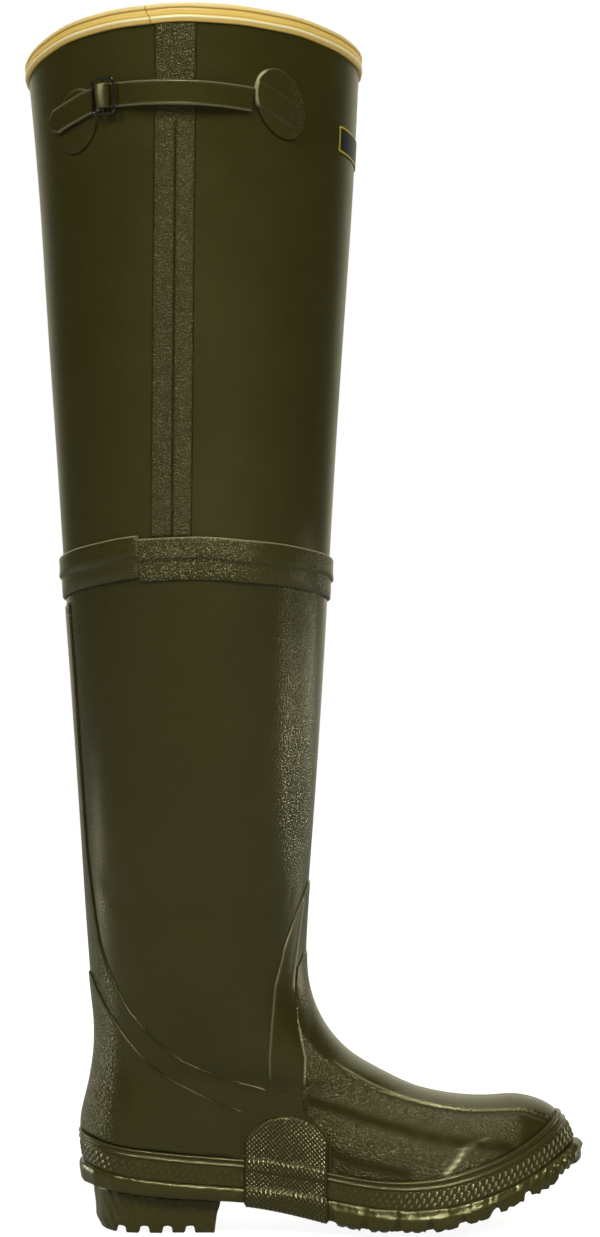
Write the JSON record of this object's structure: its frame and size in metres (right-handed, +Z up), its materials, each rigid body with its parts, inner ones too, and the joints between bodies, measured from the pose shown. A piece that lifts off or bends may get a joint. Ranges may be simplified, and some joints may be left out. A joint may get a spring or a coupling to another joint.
{
  "type": "rubber hip boot",
  "caption": "Hip-length rubber boot for the right foot, with a cleated sole, overlaid foot, taped knee lap, bound collar and a belt strap with a wire buckle on the thigh.",
  "frame": {"origin": "on the floor, under the middle of the boot's box", "axes": "+X towards the toe, +Y towards the inner side of the foot, +Z up the leg"},
  "size_m": [0.3622, 0.2102, 0.7753],
  "materials": {
    "boot_rubber": "semi-gloss olive rubber",
    "thigh_rubber": "satin olive rubber on cloth",
    "trim_rubber": "grained olive rubber tape",
    "foxing_rubber": "embossed olive rubber",
    "sole_rubber": "moulded dark olive rubber",
    "binding": "ribbed yellow rubber tape",
    "insole_felt": "felt",
    "buckle_metal": "black enamel",
    "label_patch": "blank dark patch"
  },
  "bodies": {
    "root": {"upper": "boot_rubber", "thigh_shaft": "thigh_rubber", "knee_band": "trim_rubber", "collar_binding": "binding", "side_tape": "trim_rubber", "heel_quarter": "boot_rubber", "heel_counter": "boot_rubber", "shin_gusset": "boot_rubber", "vamp_overlay": "boot_rubber", "foxing": "foxing_rubber", "outsole": "sole_rubber", "heel": "sole_rubber", "insole": "insole_felt", "shank_wrap": "foxing_rubber", "belt_strap": "trim_rubber", "buckle": "buckle_metal", "strap_patch_front": "trim_rubber", "strap_patch_rear": "trim_rubber", "label": "label_patch"}
  },
  "joints": []
}
